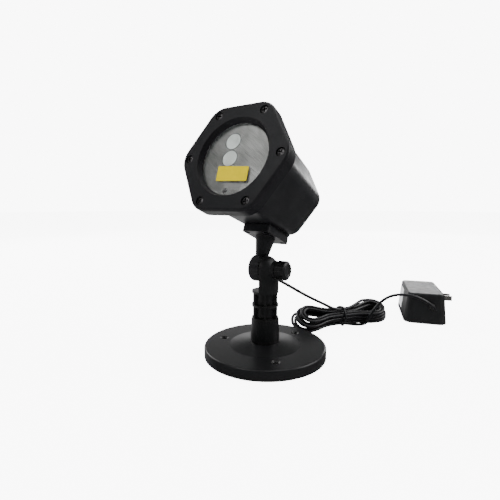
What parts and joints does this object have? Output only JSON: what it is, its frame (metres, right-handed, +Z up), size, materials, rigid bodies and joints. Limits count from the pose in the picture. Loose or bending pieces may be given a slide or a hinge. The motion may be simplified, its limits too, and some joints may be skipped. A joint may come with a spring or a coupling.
{
  "type": "laser show projector",
  "caption": "Black six-sided laser show projector with a round window, on a tilting bracket and ribbed post over a round weighted base, with its tied lead and wall adapter.",
  "frame": {"origin": "centre of the base's underside, on the surface it stands on", "axes": "+Z up along the post, head faces -Y, +X along the tilt hinge towards the clamp knob"},
  "size_m": [0.2024, 0.3219, 0.2253],
  "materials": {
    "satin_black_plastic": "satin, lightly pebbled",
    "bezel_plastic": "satin",
    "base_plastic": "semi-gloss",
    "black_rubber": "matt",
    "zinc_steel": "bright zinc",
    "dark_steel": "blackened",
    "brass": "turned",
    "plate_aluminium": "finely brushed",
    "clear_glass": "polished",
    "frosted_glass": "frosted",
    "circuit_board": "lacquered",
    "infrared_lens": "polished"
  },
  "bodies": {
    "base": {"base_shell": "base_plastic", "base_weight": "dark_steel", "base_pad": "black_rubber", "weight_screws": "zinc_steel", "post": "satin_black_plastic", "cord_drop": "black_rubber", "cord_hank": "black_rubber", "cord_tail": "black_rubber", "hank_tie": "black_rubber", "adapter_case": "satin_black_plastic", "adapter_cover": "satin_black_plastic", "left_prong": "brass", "right_prong": "brass", "adapter_relief": "black_rubber"},
    "head": {"tilt_bracket": "satin_black_plastic", "bracket_gasket": "black_rubber", "bracket_screws": "dark_steel", "cord_grommet": "black_rubber", "clamp_bolt": "dark_steel", "body_shell": "satin_black_plastic", "front_bezel": "bezel_plastic", "bezel_screws": "dark_steel", "bezel_gasket": "black_rubber", "window_seal": "black_rubber", "window_glass": "clear_glass", "face_plate": "plate_aluminium", "red_grating": "frosted_glass", "green_grating": "frosted_glass", "red_laser_module": "brass", "green_laser_module": "brass", "module_holder": "plate_aluminium", "remote_receiver": "infrared_lens", "driver_board": "circuit_board", "board_screws": "zinc_steel"},
    "knob": {"knob": "satin_black_plastic", "knob_insert": "brass"}
  },
  "joints": [
    {"name": "head_tilt", "type": "hinge", "parent": "base", "child": "head", "pos_m": [0, 0, 0.08303], "axis": [1, 0, 0], "range_deg": [-68, 66], "deforming": ["cord_drop"]},
    {"name": "clamp_knob", "type": "hinge", "parent": "base", "child": "knob", "pos_m": [0.018, 0, 0.08303], "axis": [1, 0, 0], "range_deg": [0, 360]}
  ]
}
